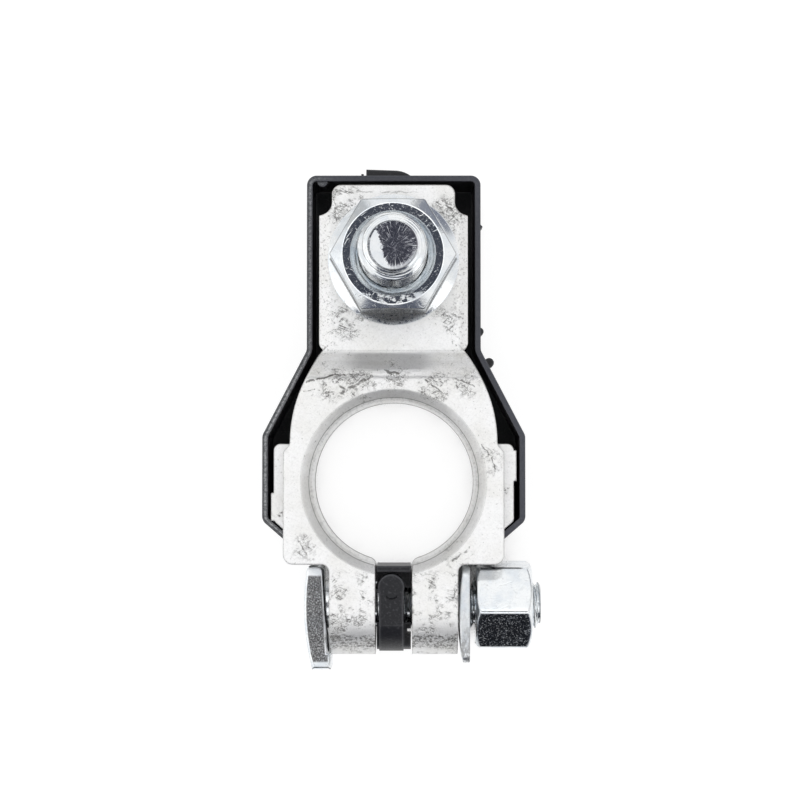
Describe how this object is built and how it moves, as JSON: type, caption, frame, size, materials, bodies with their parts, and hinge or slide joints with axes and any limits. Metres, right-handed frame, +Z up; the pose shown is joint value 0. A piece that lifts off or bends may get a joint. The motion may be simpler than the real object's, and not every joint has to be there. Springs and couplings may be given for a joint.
{
  "type": "battery terminal clamp",
  "caption": "Folded sheet brass clamp for a battery post, with a raised tab and threaded stud, a side clamp bolt with nut and plate washer, and an insulating tray.",
  "frame": {"origin": "on the axis of the post bore, at the clamp body's lower face", "axes": "+Z up along the post bore and the stud, +Y from the post bore towards the stud tab, +X along the clamp bolt towards its nut"},
  "size_m": [0.0342, 0.0617, 0.0332],
  "materials": {
    "tin_plate": "matte tin plate over brass sheet, scratched",
    "stud_zinc": "bright zinc plate with a thread",
    "nut_zinc": "bright zinc plate",
    "bolt_zinc": "bright zinc plate, sheared edge",
    "washer_zinc": "bright zinc plate",
    "clamp_nut_zinc": "bright zinc plate",
    "spacer_plastic": "black moulded nylon",
    "cover_plastic": "black moulded polypropylene"
  },
  "bodies": {
    "clamp": {"clamp_body": "tin_plate", "terminal_stud": "stud_zinc", "clamp_bolt": "bolt_zinc", "ear_spacer": "spacer_plastic", "insulating_cover": "cover_plastic"},
    "stud_nut": {"flange_nut": "nut_zinc"},
    "washer": {"plate_washer": "washer_zinc"},
    "bolt_nut": {"clamp_nut": "clamp_nut_zinc"}
  },
  "joints": [
    {"name": "stud_nut_turn", "type": "hinge", "parent": "clamp", "child": "stud_nut", "pos_m": [0, 0.0268, 0.0154], "axis": [0, 0, 1], "continuous": true},
    {"name": "washer_slide", "type": "slide", "parent": "clamp", "child": "washer", "axis": [1, 0, 0], "range_m": [0, 0.003]},
    {"name": "bolt_nut_turn", "type": "hinge", "parent": "washer", "child": "bolt_nut", "pos_m": [0.0101, -0.0151, 0.0062], "axis": [1, 0, 0], "range_deg": [0, 1100]}
  ],
  "couplings": [
    {"joint": "bolt_nut_turn", "follows": "washer_slide", "rad_per_m": 6283.2}
  ]
}
